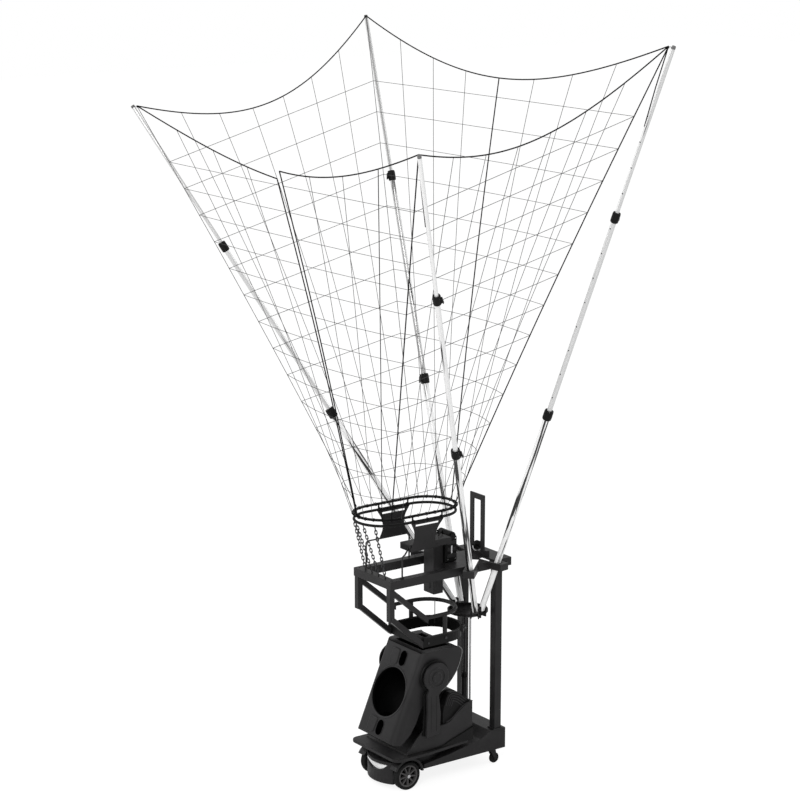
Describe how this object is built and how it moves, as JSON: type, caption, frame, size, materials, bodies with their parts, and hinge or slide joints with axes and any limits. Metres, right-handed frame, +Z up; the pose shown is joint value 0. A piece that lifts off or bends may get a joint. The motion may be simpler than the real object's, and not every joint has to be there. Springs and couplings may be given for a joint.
{
  "type": "basketball shooting machine",
  "caption": "Wheeled basketball shooting machine with a turning, tilting shooter head, a ball chute and a catching net held up by folding telescopic poles.",
  "frame": {"origin": "On the floor, under the middle of the box round the whole machine, which is also under the middle of the net's top rim.", "axes": "+Z up. -Y is the way the machine shoots. +X is the left hand of someone who stands behind the machine and faces the way it shoots."},
  "size_m": [2.8442, 1.6847, 4.379],
  "materials": {
    "black_steel": "near-black, satin powder coat",
    "frame_steel": "near-black, satin powder coat",
    "housing_plastic": "charcoal black, fine matt grain",
    "cover_plastic": "black, matt",
    "rubber": "black, matt",
    "rim_plastic": "dark grey, matt",
    "white_plastic": "white, semi-gloss",
    "bright_steel": "grey, zinc-bright",
    "wheel_rubber": "dark grey, matt",
    "pole_aluminium": "silver-white, polished",
    "net_nylon": "dark grey, knotted nylon cord"
  },
  "bodies": {
    "base": {"chassis": "black_steel", "hopper": "black_steel", "pole_hub": "black_steel", "lift_strut": "black_steel", "upper_frame": "frame_steel", "guide_plate": "frame_steel", "post_left": "frame_steel", "post_right": "frame_steel", "chute_side_left": "frame_steel", "chute_side_right": "frame_steel", "chute_hoop": "frame_steel", "ball_ring": "frame_steel", "panel_rail": "frame_steel", "lift_handle": "frame_steel", "chain_1": "frame_steel", "chain_2": "frame_steel", "chain_3": "frame_steel", "chain_4": "frame_steel", "front_skirt": "housing_plastic", "feed_column": "housing_plastic", "panel_beam": "housing_plastic", "panel_left": "housing_plastic", "panel_right": "housing_plastic", "drive_box": "cover_plastic", "front_grip": "white_plastic", "front_axle": "bright_steel", "turntable_bearing": "bright_steel", "guide_rod": "bright_steel", "net": "net_nylon"},
    "wheel_left": {"wheel_left_tyre": "rubber", "wheel_left_rim": "rim_plastic"},
    "wheel_right": {"wheel_right_tyre": "rubber", "wheel_right_rim": "rim_plastic"},
    "caster_left_swivel": {"caster_left_fork": "black_steel"},
    "caster_right_swivel": {"caster_right_fork": "black_steel"},
    "caster_left_roller": {"caster_left_wheel": "rubber"},
    "caster_right_roller": {"caster_right_wheel": "rubber"},
    "turntable": {"turntable_deck": "black_steel", "lower_housing": "housing_plastic", "ribbed_cover": "cover_plastic", "yoke_arm_left": "housing_plastic", "yoke_arm_right": "housing_plastic"},
    "shooter_head": {"head_front_shell": "housing_plastic", "head_rear_shell": "housing_plastic"},
    "upper_flywheel": {"flywheel_upper": "wheel_rubber"},
    "lower_flywheel": {"flywheel_lower": "wheel_rubber"},
    "pulley": {"rope_pulley": "cover_plastic"},
    "switch_rocker": {"power_switch": "cover_plastic"},
    "front_left_lower": {"pole_front_left_lower": "pole_aluminium"},
    "front_left_middle": {"pole_front_left_middle": "pole_aluminium"},
    "front_left_upper": {"pole_front_left_upper": "pole_aluminium"},
    "front_right_lower": {"pole_front_right_lower": "pole_aluminium"},
    "front_right_middle": {"pole_front_right_middle": "pole_aluminium"},
    "front_right_upper": {"pole_front_right_upper": "pole_aluminium"},
    "rear_left_lower": {"pole_rear_left_lower": "pole_aluminium"},
    "rear_left_middle": {"pole_rear_left_middle": "pole_aluminium"},
    "rear_left_upper": {"pole_rear_left_upper": "pole_aluminium"},
    "rear_right_lower": {"pole_rear_right_lower": "pole_aluminium"},
    "rear_right_middle": {"pole_rear_right_middle": "pole_aluminium"},
    "rear_right_upper": {"pole_rear_right_upper": "pole_aluminium"}
  },
  "joints": [
    {"name": "wheel_left_spin", "type": "hinge", "parent": "base", "child": "wheel_left", "pos_m": [-0.1645, 0, 0.085], "axis": [1, 0, 0], "continuous": true},
    {"name": "caster_left_swivel", "type": "hinge", "parent": "base", "child": "caster_left_swivel", "pos_m": [-0.13, 0.655, 0.108], "axis": [0, 0, 1], "continuous": true},
    {"name": "caster_left_roll", "type": "hinge", "parent": "caster_left_swivel", "child": "caster_left_roller", "pos_m": [-0.13, 0.677, 0.032], "axis": [1, 0, 0], "continuous": true},
    {"name": "wheel_right_spin", "type": "hinge", "parent": "base", "child": "wheel_right", "pos_m": [0.1645, 0, 0.085], "axis": [1, 0, 0], "continuous": true},
    {"name": "caster_right_swivel", "type": "hinge", "parent": "base", "child": "caster_right_swivel", "pos_m": [0.13, 0.655, 0.108], "axis": [0, 0, 1], "continuous": true},
    {"name": "caster_right_roll", "type": "hinge", "parent": "caster_right_swivel", "child": "caster_right_roller", "pos_m": [0.13, 0.677, 0.032], "axis": [1, 0, 0], "continuous": true},
    {"name": "turntable_yaw", "type": "hinge", "parent": "base", "child": "turntable", "pos_m": [0, 0.165, 0.19], "axis": [0, 0, 1], "range_deg": [-90, 90]},
    {"name": "head_tilt", "type": "hinge", "parent": "turntable", "child": "shooter_head", "pos_m": [0, 0.172, 0.672], "axis": [-1, 0, 0], "range_deg": [-4, 14]},
    {"name": "flywheel_upper_spin", "type": "hinge", "parent": "shooter_head", "child": "upper_flywheel", "pos_m": [0, 0.10333, 0.68054], "axis": [1, 0, 0], "continuous": true},
    {"name": "flywheel_lower_spin", "type": "hinge", "parent": "shooter_head", "child": "lower_flywheel", "pos_m": [0, -0.02222, 0.39055], "axis": [1, 0, 0], "continuous": true},
    {"name": "pulley_spin", "type": "hinge", "parent": "base", "child": "pulley", "pos_m": [0, 0.64, 1.342], "axis": [1, 0, 0], "continuous": true},
    {"name": "switch_rock", "type": "hinge", "parent": "base", "child": "switch_rocker", "pos_m": [0.06, 0.711, 0.172], "axis": [1, 0, 0], "range_deg": [-7, 7]},
    {"name": "pole_front_left_fold", "type": "hinge", "parent": "base", "child": "front_left_lower", "pos_m": [-0.105, 0.545, 0.985], "axis": [-0.7253, 0.6884, 0], "range_deg": [0, 30], "deforming": ["net"]},
    {"name": "pole_front_left_middle_slide", "type": "slide", "parent": "front_left_lower", "child": "front_left_middle", "axis": [0.3736, 0.3936, -0.8399], "range_m": [0, 0.95], "deforming": ["net"]},
    {"name": "pole_front_left_upper_slide", "type": "slide", "parent": "front_left_lower", "child": "front_left_upper", "axis": [0.3736, 0.3936, -0.8399], "range_m": [0, 1.9], "deforming": ["net"]},
    {"name": "pole_front_right_fold", "type": "hinge", "parent": "base", "child": "front_right_lower", "pos_m": [0.105, 0.545, 0.985], "axis": [-0.7253, -0.6884, 0], "range_deg": [0, 30], "deforming": ["net"]},
    {"name": "pole_front_right_middle_slide", "type": "slide", "parent": "front_right_lower", "child": "front_right_middle", "axis": [-0.3736, 0.3936, -0.8399], "range_m": [0, 0.95], "deforming": ["net"]},
    {"name": "pole_front_right_upper_slide", "type": "slide", "parent": "front_right_lower", "child": "front_right_upper", "axis": [-0.3736, 0.3936, -0.8399], "range_m": [0, 1.9], "deforming": ["net"]},
    {"name": "pole_rear_left_fold", "type": "hinge", "parent": "base", "child": "rear_left_lower", "pos_m": [-0.105, 0.597, 0.985], "axis": [0.177, 0.9842, 0], "range_deg": [0, 20], "deforming": ["net"]},
    {"name": "pole_rear_left_middle_slide", "type": "slide", "parent": "rear_left_lower", "child": "rear_left_middle", "axis": [0.359, -0.0645, -0.9311], "range_m": [0, 0.95], "deforming": ["net"]},
    {"name": "pole_rear_left_upper_slide", "type": "slide", "parent": "rear_left_lower", "child": "rear_left_upper", "axis": [0.359, -0.0645, -0.9311], "range_m": [0, 1.9], "deforming": ["net"]},
    {"name": "pole_rear_right_fold", "type": "hinge", "parent": "base", "child": "rear_right_lower", "pos_m": [0.105, 0.597, 0.985], "axis": [0.177, -0.9842, 0], "range_deg": [0, 20], "deforming": ["net"]},
    {"name": "pole_rear_right_middle_slide", "type": "slide", "parent": "rear_right_lower", "child": "rear_right_middle", "axis": [-0.359, -0.0645, -0.9311], "range_m": [0, 0.95], "deforming": ["net"]},
    {"name": "pole_rear_right_upper_slide", "type": "slide", "parent": "rear_right_lower", "child": "rear_right_upper", "axis": [-0.359, -0.0645, -0.9311], "range_m": [0, 1.9], "deforming": ["net"]}
  ],
  "couplings": [
    {"joint": "flywheel_lower_spin", "follows": "flywheel_upper_spin", "ratio": -1},
    {"joint": "pole_front_left_fold", "follows": "pole_rear_left_fold", "ratio": 1.5},
    {"joint": "pole_front_left_upper_slide", "follows": "pole_rear_left_upper_slide", "ratio": 1},
    {"joint": "pole_front_left_middle_slide", "follows": "pole_rear_left_upper_slide", "ratio": 0.5},
    {"joint": "pole_front_right_fold", "follows": "pole_rear_left_fold", "ratio": 1.5},
    {"joint": "pole_front_right_upper_slide", "follows": "pole_rear_left_upper_slide", "ratio": 1},
    {"joint": "pole_front_right_middle_slide", "follows": "pole_rear_left_upper_slide", "ratio": 0.5},
    {"joint": "pole_rear_left_middle_slide", "follows": "pole_rear_left_upper_slide", "ratio": 0.5},
    {"joint": "pole_rear_right_fold", "follows": "pole_rear_left_fold", "ratio": 1},
    {"joint": "pole_rear_right_upper_slide", "follows": "pole_rear_left_upper_slide", "ratio": 1},
    {"joint": "pole_rear_right_middle_slide", "follows": "pole_rear_left_upper_slide", "ratio": 0.5}
  ]
}
